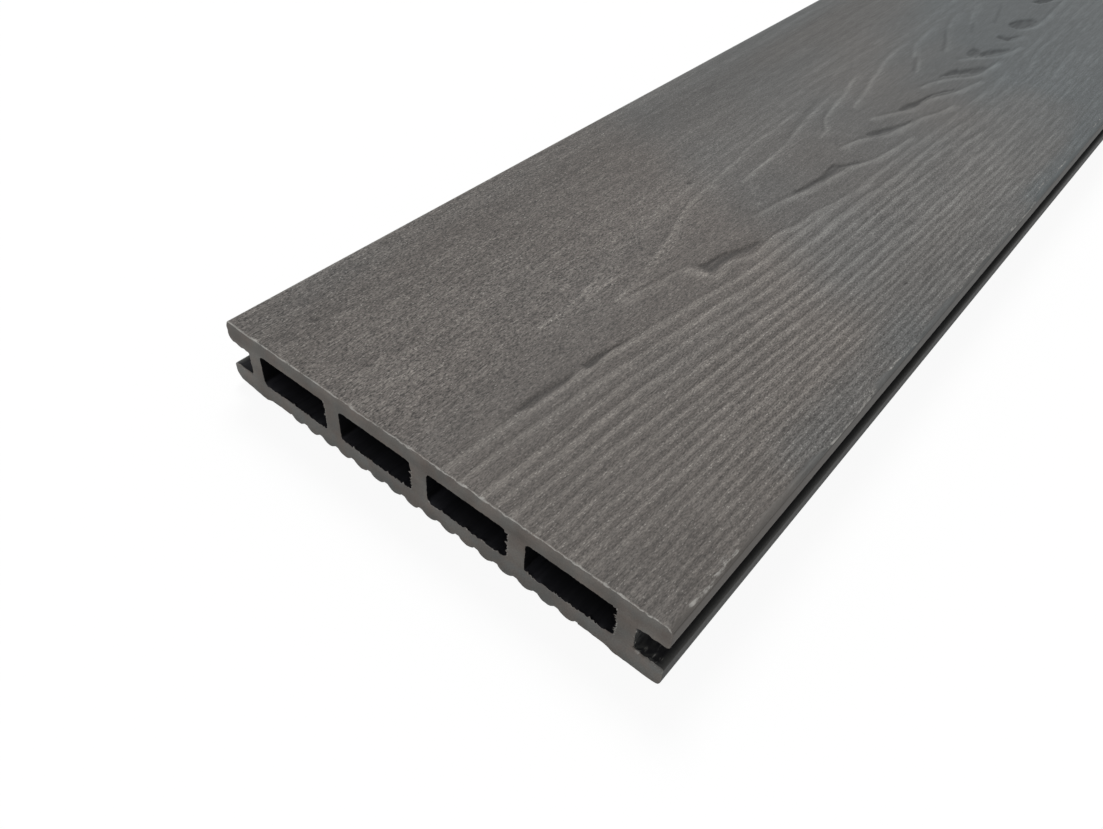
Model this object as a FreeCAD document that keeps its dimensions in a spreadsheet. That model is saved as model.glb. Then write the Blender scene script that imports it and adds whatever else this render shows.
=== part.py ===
import FreeCAD, Part
import math
import os
import Sketcher

# A hollow grooved decking board: one extruded wood-plastic profile, cut off square at both ends.
# X runs along the board, Y across it and Z up. The origin is the middle of the underside.

SIZES = [
    ("board_length", 2200, "cut length"),
    ("board_width", 146, "from lip to lip"),
    ("board_thickness", 22, "from the feet to the walking face"),
    ("top_edge_radius", 2, "outer corners of the walking face"),
    ("groove_depth", 8.3, "clip groove, inwards from the lips"),
    ("groove_height", 8.3, "clip groove, between the lips"),
    ("groove_corner_radius", 1, "inner corners of the clip groove"),
    ("lower_lip_thickness", 6.6, "from the foot to the clip groove"),
    ("lip_edge_radius", 0.6, "edges of the clip grooves' mouths"),
    ("foot_edge_radius", 1.4, "outer corner of the -Y foot"),
    ("raised_lip_rise", 1.6, "rise of the +Y lower lip's underside at its edge"),
    ("raised_lip_radius", 3.2, "lower outer corner of the raised lip"),
    ("raised_foot_land", 1, "flat strip left on the +Y foot"),
    ("end_wall", 4.9, "between a clip groove and the nearest chamber"),
    ("web_thickness", 5.3, "between two chambers"),
    ("top_wall", 5.3, "over the chambers"),
    ("bottom_wall", 6.3, "under the chambers, down to the feet"),
    ("chamber_count", 4, "chambers side by side"),
    ("chamber_corner_radius", 1.5, "corners of a chamber"),
    ("foot_width", 12.8, "flat foot under each lower lip"),
    ("foot_slope_width", 2.4, "slope from a foot up to the flat band"),
    ("band_width", 7.6, "flat band between a foot and the reeds"),
    ("band_recess", 1, "height of the flat band over the feet"),
    ("reed_count", 16, "reeds along the underside"),
    ("reed_height", 1.35, "height of a reed"),
    ("reed_gap", 1.1, "flat root between two reeds"),
]

# How far a cut reaches past the face that it starts from.
OVERRUN = 3
# How far a reed's profile reaches up into the stock that it stands on.
REED_ROOT = 1
# The most of a lip's thickness that one of its rounded outer corners may take.
CORNER_SHARE = 0.6
SMALL_CORNER_SHARE = 0.3
# How near an edge has to lie to the place that it is looked for at.
NEAR = 0.01

HALF_WIDTH = "sizes.board_width / 2"
GROOVE_WALL = "sizes.board_width / 2 - sizes.groove_depth"
GROOVE_TOP = "sizes.lower_lip_thickness + sizes.groove_height"
FOOT_EDGE = "sizes.board_width / 2 - sizes.foot_width"
BAND_EDGE = FOOT_EDGE + " - sizes.foot_slope_width"
BED_EDGE = BAND_EDGE + " - sizes.band_width"
REED_PITCH = "2 * (%s) / sizes.reed_count" % BED_EDGE
CHAMBER_SPAN = "2 * (%s - sizes.end_wall)" % GROOVE_WALL
CHAMBER_PITCH = "(%s + sizes.web_thickness) / sizes.chamber_count" % CHAMBER_SPAN
CHAMBER_CEILING = "sizes.board_thickness - sizes.top_wall"


def make_sheet(doc):
    """The driving dimensions, in millimetres, each with an alias and a note."""
    sheet = doc.addObject("Spreadsheet::Sheet", "sizes")
    for row, (alias, value, note) in enumerate(SIZES, start=1):
        sheet.set("A%d" % row, alias)
        sheet.set("B%d" % row, str(value))
        sheet.set("C%d" % row, note)
        sheet.setAlias("B%d" % row, alias)
    doc.recompute()
    return sheet


def origin_part(body, role):
    """A plane or an axis of the body's own origin."""
    return next(item for item in body.Origin.OriginFeatures if item.Role == role)


def section_sketch(body, name):
    """An empty sketch on the board's middle cross-section: its x is Y and its y is Z."""
    sketch = body.newObject("Sketcher::SketchObject", name)
    sketch.AttachmentSupport = [(origin_part(body, "YZ_Plane"), "")]
    sketch.MapMode = "FlatFace"
    return sketch


def size_of(sketch, expression):
    """The present value of an expression on the sheet."""
    return float(sketch.evalExpression(expression))


def bind(sketch, kind, ends, expression):
    """A dimension between two points, or of one curve, that follows the sheet."""
    value = size_of(sketch, expression)
    if value < 0:
        ends = ends[2:] + ends[:2]
        expression = "-(%s)" % expression
    index = sketch.addConstraint(Sketcher.Constraint(kind, *ends, abs(value)))
    sketch.setExpression("Constraints[%d]" % index, expression)


def place(sketch, line, across, up):
    """Set a line's start point from the origin."""
    bind(sketch, "DistanceX", (-1, 1, line, 1), across)
    bind(sketch, "DistanceY", (-1, 1, line, 1), up)


def polygon(body, name, corners):
    """A closed outline of straight lines through (across, up) corners."""
    sketch = section_sketch(body, name)
    points = [FreeCAD.Vector(size_of(sketch, y), size_of(sketch, z), 0) for y, z in corners]
    for start, end in zip(points, points[1:] + points[:1]):
        sketch.addGeometry(Part.LineSegment(start, end))
    for line, corner in enumerate(corners):
        following = (line + 1) % len(corners)
        sketch.addConstraint(Sketcher.Constraint("Coincident", line, 2, following, 1))
        place(sketch, line, *corner)
    return sketch


def rounded_box(body, name, left, right, bottom, top, radius):
    """A closed rectangle with four equal rounded corners."""
    sketch = section_sketch(body, name)
    low_y, high_y, low_z, high_z, round_off = (
        size_of(sketch, size) for size in (left, right, bottom, top, radius))
    corners = [(low_y, low_z), (high_y, low_z), (high_y, high_z), (low_y, high_z)]
    inwards = [(1, 1), (-1, 1), (-1, -1), (1, -1)]
    centres = [FreeCAD.Vector(y + round_off * side, z + round_off * rise, 0)
               for (y, z), (side, rise) in zip(corners, inwards)]
    outwards = [FreeCAD.Vector(*step) * round_off for step in ((0, -1, 0), (1, 0, 0), (0, 1, 0), (-1, 0, 0))]
    quarter = math.pi / 2
    for number, outward in enumerate(outwards):
        following = (number + 1) % 4
        sketch.addGeometry(Part.LineSegment(centres[number] + outward, centres[following] + outward))
        circle = Part.Circle(centres[following], FreeCAD.Vector(0, 0, 1), round_off)
        start = (number - 1) * quarter
        sketch.addGeometry(Part.ArcOfCircle(circle, start, start + quarter))
    for number in range(4):
        line, arc, next_line = 2 * number, 2 * number + 1, (2 * number + 2) % 8
        sketch.addConstraint(Sketcher.Constraint("Tangent", line, 2, arc, 1))
        sketch.addConstraint(Sketcher.Constraint("Tangent", arc, 2, next_line, 1))
        sketch.addConstraint(Sketcher.Constraint("Vertical" if number % 2 else "Horizontal", line))
        if number:
            sketch.addConstraint(Sketcher.Constraint("Equal", 1, arc))
    bind(sketch, "Radius", (1,), radius)
    bind(sketch, "DistanceY", (-1, 1, 0, 1), bottom)
    bind(sketch, "DistanceX", (-1, 1, 2, 1), right)
    bind(sketch, "DistanceY", (-1, 1, 4, 1), top)
    bind(sketch, "DistanceX", (-1, 1, 6, 1), left)
    return sketch


def through_feature(body, kind, name, sketch):
    """Push a sketch along the whole board, half each way, as new stock or as a cut."""
    feature = body.newObject(kind, name)
    feature.Profile = sketch
    feature.SideType = "Symmetric"
    if kind == "PartDesign::Pocket":
        feature.Type = "ThroughAll"
    else:
        feature.setExpression("Length", "sizes.board_length")
    body.Document.recompute()
    return feature


def row_across(body, name, feature, pitch, count):
    """Repeat a feature across the board at an even pitch."""
    pattern = body.newObject("PartDesign::LinearPattern", name)
    pattern.Originals = [feature]
    pattern.Direction = (origin_part(body, "Y_Axis"), [""])
    pattern.Mode = "Spacing"
    pattern.setExpression("Offset", pitch)
    pattern.setExpression("Occurrences", count)
    body.Tip = pattern
    body.Document.recompute()
    return pattern


def both_sides(body, name, feature):
    """Mirror a feature to the board's other side."""
    mirrored = body.newObject("PartDesign::Mirrored", name)
    mirrored.Originals = [feature]
    mirrored.MirrorPlane = (origin_part(body, "XZ_Plane"), [""])
    body.Tip = mirrored
    body.Document.recompute()
    return mirrored


def round_edges(body, name, corners, radius):
    """Round the long edges that run along the board at (across, up) corners."""
    tip = body.Tip
    spots = [FreeCAD.Vector(0, size_of(tip, y), size_of(tip, z)) for y, z in corners]
    edges = []
    for number, edge in enumerate(tip.Shape.Edges, start=1):
        middle = edge.BoundBox.Center
        middle.x = 0
        if any(middle.distanceToPoint(spot) < NEAR for spot in spots):
            edges.append("Edge%d" % number)
    if len(edges) != len(corners):
        raise ValueError("%s: %d edges found for %d corners" % (name, len(edges), len(corners)))
    fillet = body.newObject("PartDesign::Fillet", name)
    fillet.Base = (tip, edges)
    fillet.setExpression("Radius", radius)
    body.Tip = fillet
    body.Document.recompute()
    return fillet


def blank(body):
    """The plain bar, with its underside on z = 0."""
    corners = [("-(%s)" % HALF_WIDTH, "0"), (HALF_WIDTH, "0"),
               (HALF_WIDTH, "sizes.board_thickness"), ("-(%s)" % HALF_WIDTH, "sizes.board_thickness")]
    through_feature(body, "PartDesign::Pad", "blank", polygon(body, "blank_outline", corners))


def clip_grooves(body):
    """The groove along each side that the fixing clips slide into."""
    outline = rounded_box(body, "groove_outline", GROOVE_WALL, "%s + %g" % (HALF_WIDTH, OVERRUN),
                          "sizes.lower_lip_thickness", GROOVE_TOP, "sizes.groove_corner_radius")
    groove = through_feature(body, "PartDesign::Pocket", "clip_groove", outline)
    both_sides(body, "clip_grooves", groove)


def chambers(body):
    """The row of hollow chambers that run the length of the board."""
    left = "-(%s) / 2" % CHAMBER_SPAN
    right = "%s + %s - sizes.web_thickness" % (left, CHAMBER_PITCH)
    outline = rounded_box(body, "chamber_outline", left, right, "sizes.bottom_wall",
                          CHAMBER_CEILING, "sizes.chamber_corner_radius")
    chamber = through_feature(body, "PartDesign::Pocket", "chamber", outline)
    row_across(body, "chambers", chamber, CHAMBER_PITCH, "sizes.chamber_count")


def underside_recess(body):
    """The flat bands inside the feet, and the deeper bed that the reeds stand on."""
    recess = polygon(body, "recess_outline", [
        ("-(%s)" % FOOT_EDGE, "0"), ("-(%s)" % FOOT_EDGE, "-%g" % OVERRUN),
        (FOOT_EDGE, "-%g" % OVERRUN), (FOOT_EDGE, "0"),
        (BAND_EDGE, "sizes.band_recess"), ("-(%s)" % BAND_EDGE, "sizes.band_recess")])
    through_feature(body, "PartDesign::Pocket", "recess", recess)
    bed = polygon(body, "reed_bed_outline", [
        ("-(%s)" % BED_EDGE, "0"), (BED_EDGE, "0"),
        (BED_EDGE, "sizes.reed_height"), ("-(%s)" % BED_EDGE, "sizes.reed_height")])
    through_feature(body, "PartDesign::Pocket", "reed_bed", bed)


def reeds(body):
    """The rounded ribs under the board, each rooted in the bed over it."""
    pitch = REED_PITCH
    half_reed = "(%s - sizes.reed_gap) / 2" % pitch
    middle = "-(%s) + %s / 2" % (BED_EDGE, pitch)
    left = "%s - %s" % (middle, half_reed)
    right = "%s + %s" % (middle, half_reed)
    rooted = "sizes.reed_height + %g" % REED_ROOT
    sketch = section_sketch(body, "reed_outline")
    corners = [(right, "sizes.reed_height"), (right, rooted), (left, rooted), (left, "sizes.reed_height")]
    points = [FreeCAD.Vector(size_of(sketch, y), size_of(sketch, z), 0) for y, z in corners]
    for start, end in zip(points, points[1:]):
        sketch.addGeometry(Part.LineSegment(start, end))
    crest = FreeCAD.Vector(size_of(sketch, middle), 0, 0)
    sketch.addGeometry(Part.Arc(points[3], crest, points[0]))
    for line in range(4):
        following = (line + 1) % 4
        sketch.addConstraint(Sketcher.Constraint("Coincident", line, 2, following, 1))
    for line, corner in enumerate(corners):
        place(sketch, line, *corner)
    bind(sketch, "Radius", (3,), "((%s)^2 + sizes.reed_height^2) / (2 * sizes.reed_height)" % half_reed)
    reed = through_feature(body, "PartDesign::Pad", "reed", sketch)
    row_across(body, "reeds", reed, pitch, "sizes.reed_count")


def raised_lip(body):
    """The +Y lower lip, whose underside slopes up from a narrow foot."""
    start = FOOT_EDGE + " + sizes.raised_foot_land"
    slope = "sizes.raised_lip_rise / (sizes.foot_width - sizes.raised_foot_land)"
    outside = "%s + %g" % (HALF_WIDTH, OVERRUN)
    wedge = polygon(body, "raised_lip_outline", [
        (start, "0"), (start, "-%g" % OVERRUN), (outside, "-%g" % OVERRUN),
        (outside, "sizes.raised_lip_rise + %g * %s" % (OVERRUN, slope))])
    through_feature(body, "PartDesign::Pocket", "raised_lip", wedge)


def rounded_edges(body):
    """The die's rounded outer corners, no larger than the lips leave room for."""
    left = "-(%s)" % HALF_WIDTH
    upper_lip = "sizes.board_thickness - sizes.lower_lip_thickness - sizes.groove_height"
    mouth_share = "%g * min(sizes.lower_lip_thickness; %s)" % (SMALL_CORNER_SHARE, upper_lip)
    room = "sizes.lower_lip_thickness - sizes.raised_lip_rise - sizes.lip_edge_radius"
    round_edges(body, "top_edges", [(HALF_WIDTH, "sizes.board_thickness"), (left, "sizes.board_thickness")],
                "min(sizes.top_edge_radius; %g * (%s))" % (CORNER_SHARE, upper_lip))
    round_edges(body, "mouth_edges", [
        (HALF_WIDTH, GROOVE_TOP), (left, GROOVE_TOP),
        (HALF_WIDTH, "sizes.lower_lip_thickness"), (left, "sizes.lower_lip_thickness")],
        "min(sizes.lip_edge_radius; %s)" % mouth_share)
    round_edges(body, "foot_edge", [(left, "0")],
                "min(sizes.foot_edge_radius; %g * sizes.lower_lip_thickness)" % CORNER_SHARE)
    round_edges(body, "raised_lip_edge", [(HALF_WIDTH, "sizes.raised_lip_rise")],
                "min(sizes.raised_lip_radius; %s)" % room)


def make_board(doc):
    """The whole board as one body."""
    body = doc.addObject("PartDesign::Body", "deck_board")
    body.Label = "deck_board"
    for step in (blank, clip_grooves, chambers, underside_recess, reeds, raised_lip, rounded_edges):
        before = body.Shape.Volume if body.Tip else 0
        step(body)
        print("%-18s %12.0f mm3" % (step.__name__, body.Shape.Volume))
        if abs(body.Shape.Volume - before) < 1:
            raise ValueError("%s changed nothing" % step.__name__)
    return body


def check(doc):
    """Stop if a feature failed or the board isn't one valid solid."""
    for item in doc.Objects:
        if "Invalid" in item.State or "Error" in item.State:
            raise ValueError("%s failed" % item.Label)
        if item.TypeId == "Sketcher::SketchObject" and not item.FullyConstrained:
            raise ValueError("%s isn't fully constrained" % item.Label)
        if item.TypeId == "PartDesign::Body":
            shape = item.Shape
            if shape.isNull() or not shape.isValid() or len(shape.Solids) != 1:
                raise ValueError("%s isn't one valid solid" % item.Label)


def main():
    doc = FreeCAD.newDocument("deck_board")
    make_sheet(doc)
    board = make_board(doc)
    doc.recompute()
    check(doc)
    os.makedirs("parts", exist_ok=True)
    board.Shape.exportStep("parts/%s.step" % board.Label)
    box = board.Shape.BoundBox
    print("%s: %.2f x %.2f x %.2f mm, from z = %.3f" % (
        board.Label, box.XLength, box.YLength, box.ZLength, box.ZMin))


main()
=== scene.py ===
"""Looks of a hollow, grooved wood-plastic decking board, laid out as an add-on and run as a script."""

import math

import bpy
import numpy as np
from mathutils import Matrix, Vector
from mathutils.geometry import tessellate_polygon


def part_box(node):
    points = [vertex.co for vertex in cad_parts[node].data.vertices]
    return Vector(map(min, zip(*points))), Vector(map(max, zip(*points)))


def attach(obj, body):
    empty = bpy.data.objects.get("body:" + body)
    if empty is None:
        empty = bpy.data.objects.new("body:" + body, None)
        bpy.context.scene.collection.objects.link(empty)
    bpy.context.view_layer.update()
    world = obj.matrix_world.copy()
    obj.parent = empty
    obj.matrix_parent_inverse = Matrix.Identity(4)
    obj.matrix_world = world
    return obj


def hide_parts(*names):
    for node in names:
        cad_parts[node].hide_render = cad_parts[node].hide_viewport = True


bl_info = {
    "name": "Decking board",
    "version": (1, 0, 0),
    "blender": (4, 5, 0),
    "location": "3D View > Sidebar > Decking",
    "description": "A hollow, grooved decking board with an embossed wood-grain face, and its stage",
    "category": "Object",
}

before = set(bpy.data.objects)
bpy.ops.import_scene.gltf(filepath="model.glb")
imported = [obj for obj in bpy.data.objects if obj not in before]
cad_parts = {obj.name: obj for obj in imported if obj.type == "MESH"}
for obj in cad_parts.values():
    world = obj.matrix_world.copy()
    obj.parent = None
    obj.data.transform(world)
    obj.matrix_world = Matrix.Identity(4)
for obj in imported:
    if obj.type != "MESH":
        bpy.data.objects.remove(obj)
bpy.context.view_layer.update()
BOARD_LOW, BOARD_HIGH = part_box("deck_board")

# The mesh is worked out in millimetres, from the photographed end: x along, y across, z up.
MM = 0.001

# The embossed figure, in millimetres along and across. The roller prints it again after each turn.
ROLLER_TURN = 2200 / 3
# The lowest long line of the figure, where the straight grain of the flank starts.
GUIDE = [(0, -7), (16, -7.4), (38, -8.9), (58, -10.4), (75, -12.7), (97, -15.7), (114, -18.4),
         (130, -19.8), (155, -20.5), (220, -22.9), (277, -25.5), (310, -26.2), (350, -25.5),
         (390, -23.5), (440, -21.5), (600, -14), (ROLLER_TURN, -7)]
# How many grain lines lie between the guide and the edge.
FLANK_COUNT = [(0, 19.5), (140, 17.6), (277, 15.8), (350, 15.8), (600, 18.5), (ROLLER_TURN, 19.5)]
# How much tighter the grain lines get towards the edge.
FLANK_TIGHTENING = 0.9
# Arms that rise from the tips of the figure: how pale a line, how dark a line over it, and their path.
# The pale lines are partly a painted highlight and the dark lines partly painted shade.
UPPER_ARMS = [
    (0.9, 0.3, [(52, 8.4), (64, 8.8), (75, 9.4), (85, 11.2), (92, 14), (99, 17.6)]),
    (0.5, 0.0, [(66, 7), (76, 7.4), (84, 7.2), (96, 8.6)]),
    (0.5, 0.1, [(97, 16.6), (112, 16.4), (128, 17.6), (142, 19.8), (156, 21.2)]),
    (0.9, 0.3, [(78, 0.2), (86, 1.2), (93, 1.9)]),
    (0.0, 0.7, [(114, 7.6), (120, 9.2), (125, 11.2), (129, 12.6), (136, 14)]),
    (1.0, 0.15, [(90, 1.6), (96, 2.6), (101, 3.7), (107, 5.2), (112, 5.9), (117, 6.9), (120, 8), (124, 9.6),
                (129, 11.5), (133, 12.7), (140, 13.9), (155, 15.6), (169, 17), (181, 18.4), (187, 19.6),
                (202, 20), (226, 20.8), (240, 22.6), (258, 24.4)]),
    (1.0, 0.1, [(163, 8.2), (170, 9.2), (187, 9.8), (200, 10.8), (212, 12.6), (225, 15), (237, 16.2),
                (248, 17.6), (264, 19.4)]),
    (0.0, 0.7, [(200, 12.4), (210, 14), (221, 16.4), (232, 18.4), (244, 20.4), (258, 21.6)]),
    (0.5, 0.0, [(158, 1), (163, 3), (167, 6), (170, 8)]),
    (0.7, 0.0, [(213, 4), (220, 4.6), (227, 5.6)]),
    (0.0, 0.7, [(219, 4.6), (224, 7.6), (229, 10.6), (236, 12.4), (246, 13.8)]),
    (0.9, 0.1, [(221, 4), (225, 6.6), (230, 9.6), (236, 11.2), (244, 12.4), (254, 13.8), (264, 16), (272, 18),
                (290, 21)]),
    (0.0, 0.8, [(211, -4.4), (215, -2.8), (219, -0.6), (223, 1.4)]),
    (0.8, 0.2, [(246, 5.4), (252, 7), (260, 8), (270, 10), (280, 12.4), (292, 14.4), (302, 16.6), (312, 17.6),
                (326, 18.2), (345, 19)]),
    (0.7, 0.0, [(241, -3.6), (246, -3.2), (250, -4.2)]),
    (0.5, 0.9, [(298, 0.8), (303, 2), (309, 4.2), (314, 6), (320, 8)]),
    (1.0, 0.2, [(313, 8.2), (319, 10.4), (325, 13), (333, 14.8), (345, 15.8), (360, 16.6), (372, 17.4)]),
    (0.6, 1.0, [(330, 0.4), (337, 2), (345, 4.6), (351, 7), (357, 9), (364, 11)]),
    (0.7, 0.2, [(360, 10.6), (368, 12.4), (378, 14.2), (392, 15.4)]),
    (0.0, 0.7, [(362, 0.8), (372, 3.4), (381, 5.8)]),
    (0.8, 0.0, [(373, 4.8), (385, 8.5), (394, 10.8), (412, 13)]),
    (0.0, 0.8, [(383, -2.8), (395, -0.5), (405, 2), (420, 5.2)]),
    (0.4, 0.2, [(268, 26.5), (300, 27), (320, 28.5), (345, 31)]),
    (0.4, 0.1, [(250, 45.5), (272, 47), (300, 48.5)]),
    (0.8, 0.5, [(428, 2), (440, 5), (450, 9), (460, 12), (480, 15)]),
    (0.8, 0.5, [(462, 1), (474, 4), (484, 8), (500, 11)]),
    (0.6, 0.4, [(500, 2), (514, 5), (530, 8), (550, 10)]),
]
# Arms that fall from the tips to the flank, with a broad lit side, each with its share of the full depth.
LOWER_ARMS = [
    (0.8, [(78, 0.9), (86, -0.4), (92, -1.6), (98, -2.6), (104, -3.2), (109, -4)]),
    (0.9, [(107, -15.6), (113, -12.6), (120, -12), (124, -13.2), (128, -15.8), (137, -15.8), (145, -15.2),
           (150, -16.6), (156, -18), (166, -18.2), (176, -20.5), (200, -23.4)]),
    (1.0, [(146, -4), (156, -5.6), (165, -6.8), (172, -8.6), (180, -10.2), (186, -11.4), (196, -12.4),
           (203, -13), (208, -15), (214, -17.2), (225, -18.8), (245, -20.6)]),
    (1.0, [(211, -4), (221, -5.2), (228, -7.4), (232, -10.4), (236, -12.3), (243, -13.6), (250, -14.8),
           (257, -15.8), (264, -17.4), (272, -20.2), (285, -22)]),
    (0.9, [(242, -2.6), (249, -3.4), (255, -5.6), (260, -8.4), (266, -11), (275, -11.7), (282, -12.4),
           (288, -15), (296, -17.8), (316, -21.5)]),
    (1.0, [(285, -4.6), (294, -5.6), (301, -8), (306, -9.8), (310, -12.8), (315, -16.4), (321, -18.6),
           (330, -19.1), (345, -19.8)]),
    (1.0, [(326, -5), (333, -7), (338, -10.8), (343, -15.4), (349, -17.8), (357, -20), (368, -21)]),
    (0.6, [(361, -8), (367, -14.2), (373, -16.6), (383, -18)]),
    (1.0, [(383, -11.4), (389, -14.6), (396, -17.6), (408, -18), (420, -17.7), (430, -17.1), (452, -16.5)]),
    (0.9, [(426, -4), (434, -8), (442, -12), (455, -15), (475, -15.5)]),
    (0.8, [(466, -4), (476, -8), (488, -11), (505, -12.5)]),
]
# Broken pale steps at the blunt end of a hollow, a painted highlight where they face the key light:
# along and across of both ends, and half the width.
BLUNT_STEPS = [(106.8, -3.6, 109.6, -14, 3.0), (156.5, -1, 156.9, -3.6, 1.1)]
# Hollows along the lower arms, as rows of along, upper side and lower side.
POCKETS = [
    [(26, -6.8, -8.2), (31, -7, -9.8), (36, -7.4, -10.2), (41, -8, -10.2), (48, -8.6, -10.4)],
    [(50.5, -8.4, -11.2), (57, -8.8, -11.6), (63, -10, -11.9), (70, -11.6, -12.5)],
    [(111, -4.8, -11.8), (112.6, -6, -12.2), (114.5, -7.6, -12), (118, -8, -11.8), (122, -8.2, -11.8),
     (125.5, -9.8, -13.2), (130, -12, -14.8), (134, -12.9, -14.9), (138.5, -13.3, -14.5)],
    [(171, -7.2, -8.4), (178, -7.8, -10), (184, -8.6, -10.8), (190, -9.2, -11.6), (195, -8.2, -11.7),
     (200, -8.4, -11.6), (203, -10.8, -12.8), (207, -13.2, -14.6), (212, -15.2, -16)],
    [(230, -6.8, -8), (234, -7.4, -10.2), (238, -8.2, -12.2), (243, -10.8, -13.5), (248, -12.6, -14.2),
     (257, -14.9, -15.9)],
    [(260, -6.8, -8), (264, -7.4, -10), (270, -8.2, -11.2), (277, -9.6, -11.5), (284, -10.8, -12.2),
     (290, -12.8, -14.2), (298, -16.2, -17.3)],
    [(302, -6.6, -7.6), (307, -7, -8.4), (311, -7.2, -10.6), (315, -8, -13.4), (319, -10.6, -16.4),
     (323, -13, -18.4), (331, -17.4, -19)],
    [(336.5, -6.8, -8.8), (340, -5.8, -10.4), (344, -5.6, -10.8), (348.5, -6, -9.4)],
    [(341, -9.8, -12.6), (346, -11, -15), (351, -12.4, -17.2), (355, -15.2, -18.8), (360.5, -18.8, -20.2)],
    [(367, -9.4, -13.6), (369.5, -8.6, -15.4), (373.5, -9.2, -14.6)],
    [(372, -13.2, -15), (377, -15.2, -16.8), (381, -16.6, -17.6)],
    [(386.5, -9.2, -12.2), (391, -7.4, -14.6), (396, -8.2, -16.6), (401, -10.2, -17.4), (407.5, -14, -17.4)],
    [(430, -6, -9), (436, -6.6, -12), (443, -9.6, -13.6), (452, -13.6, -15)],
    [(472, -5.4, -8), (480, -6.4, -10.6), (490, -9.6, -12)],
]
# Pale flattened burr along the top's right edge: start, end, distance from the side, strength and half width.
EDGE_SCUFFS = [(2, 6, 0.6, 0.4, 0.15), (6, 29, 0.7, 0.8, 0.25), (19, 25, 1.5, 0.55, 0.7),
               (37, 44, 1.3, 0.4, 0.15), (67, 99, 0.25, 0.95, 0.08), (94, 100, 0.9, 0.85, 0.3),
               (106, 116, 1.1, 0.75, 0.15), (113, 130, 0.7, 0.6, 0.1), (138, 153, 3.1, 0.55, 0.2),
               (155, 169, 1.1, 0.6, 0.15), (167, 173, 1, 0.55, 0.25), (180, 187, 1, 0.5, 0.25),
               (202, 231, 0.3, 0.8, 0.15), (233, 250, 2.5, 0.5, 0.1), (256, 270, 1.6, 0.6, 0.1),
               (302, 317, 1.9, 0.65, 0.1), (372, 384, 1.9, 0.5, 0.15)]
# How far the smooth skin reaches up from the right side onto the brushed face: along and width.
SMOOTH_EDGE = [(0, 0.9), (29, 0.9), (35, 1.5), (50, 1.7), (64, 1.8), (69, 0.6), (97, 0.5), (100, 1.9),
               (105, 1.7), (109, 0.8), (129, 0.8), (134, 1.6), (150, 1.6), (156, 0.8), (230, 0.7),
               (236, 1.4), (290, 1.2)]
# Small dark pits in the walking face: along, across and half their length.
PITS = [(16.5, 55.5, 1.4), (151.5, 21.8, 1.7), (149.5, -58.6, 1.5)]
# Where the face that the photograph shows gives way to slow, made-up patches.
UNSEEN = (430, 730)
# Soft patches of the brushed face: a cool tint that is partly painted cool light and partly tone, the grit's
# strength, and painted shade. A row is a strength and the ramps that bound it: a way, where the ramp starts
# and where it is full. On the slanting way a place further to the left counts as nearer to the cut, and on
# the spreading way that is so only left of the middle.
SLANT, SPREAD = 0.4, 1.2
# The cool tint, partly painted cool light.
COOL_PATCHES = [
    (0.35, ("slanting", 130, 162)),
    (0.12, ("along", 185, 245)),
    (0.53, ("spreading", 262, 377)),
    (0.13, ("across", 57, 66)),
    (0.15, ("along", 275, 300), ("across", 8, 0)),
    (0.42, ("across", -57, -69), ("along", 44, 68)),
    (-0.315, ("across", -57, -69), ("along", 115, 145)),
    (0.36, ("across", -65, -70), ("along", 218, 236)),
    (0.2, ("along", 355, 380), ("across", 10, 1), ("across", -18, -9)),
]
GRIT_PATCHES = [
    (0.4, ("across", -8, 14), ("along", 185, 75)),
    (-0.2, ("across", 0, -10), ("along", 75, 35)),
    (-0.45, ("slanting", 105, 235)),
    (-0.3, ("along", 200, 290)),
    (0.28, ("across", -24, -34), ("along", 140, 190), ("along", 410, 340)),
]
# Painted shade.
DARK_PATCHES = [
    (-0.5, ("across", -14, -22), ("across", -58, -50), ("along", 70, 130)),
    (0.4, ("across", -59, -67)),
    (0.6, ("across", -46, -54), ("along", 40, 20)),
    (-0.5, ("across", -38, -46), ("along", 165, 225)),
]


def length(name, default, description):
    """A size that a user can change."""
    return bpy.props.FloatProperty(name=name, description=description, default=default,
                                   min=0.0, unit="LENGTH", subtype="DISTANCE", precision=5)


def colour(name, default, description):
    """A colour that a user can change."""
    return bpy.props.FloatVectorProperty(name=name, description=description, default=default,
                                         size=3, min=0.0, max=1.0, subtype="COLOR")


def share(name, default, description):
    """A plain number that a user can change."""
    return bpy.props.FloatProperty(name=name, description=description, default=default, min=0.0)


def angle(name, degrees, description):
    """An angle that a user can change."""
    return bpy.props.FloatProperty(name=name, description=description, default=math.radians(degrees),
                                   subtype="ANGLE", unit="ROTATION")


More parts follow.
